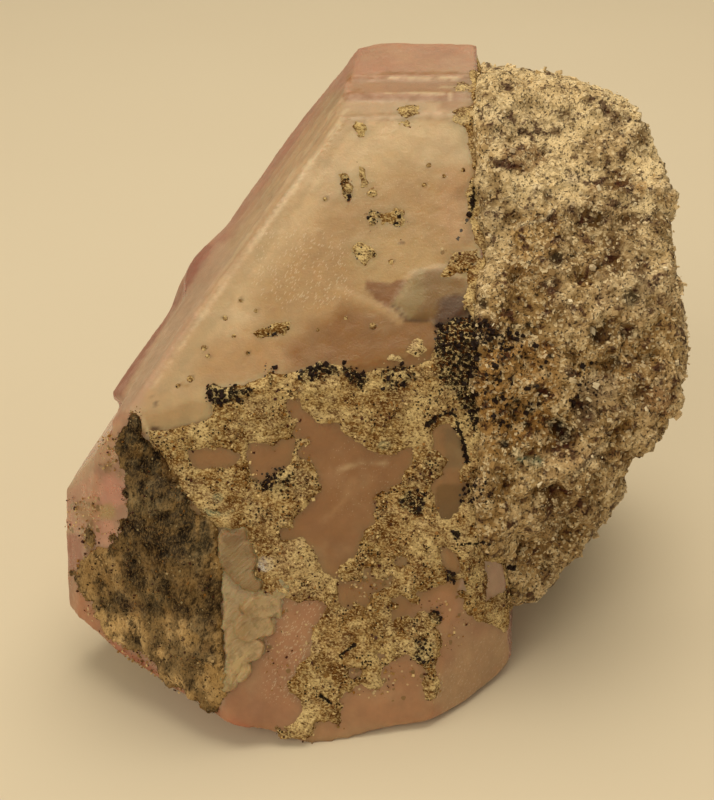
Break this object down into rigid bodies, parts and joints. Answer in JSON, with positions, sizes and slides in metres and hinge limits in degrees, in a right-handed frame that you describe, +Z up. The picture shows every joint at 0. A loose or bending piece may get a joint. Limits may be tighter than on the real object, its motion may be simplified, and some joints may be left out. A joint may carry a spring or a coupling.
{
  "type": "kunzite crystal",
  "caption": "Rough pink kunzite crystal with striated faces, dark and iron-stained crusts, and sugary albite matrix attached.",
  "frame": {"origin": "middle of the underside of the box round the whole specimen, at the height of its flat broken foot", "axes": "+Z up from the foot; -Y is the front, where the crusted lower face and the milky upper face look; +X to the right, towards the matrix"},
  "size_m": [0.0678, 0.0576, 0.0597],
  "materials": {
    "kunzite": "translucent vitreous, softly etched",
    "albite": "sugary, granular",
    "iron_stained_crust": "matt, granular",
    "manganese_crust": "matt, granular",
    "albite_blade": "translucent, satin"
  },
  "bodies": {
    "root": {"kunzite_crystal": "kunzite", "albite_matrix": "albite", "front_crust": "iron_stained_crust", "dark_crust": "manganese_crust", "albite_blades": "albite_blade"}
  },
  "joints": []
}
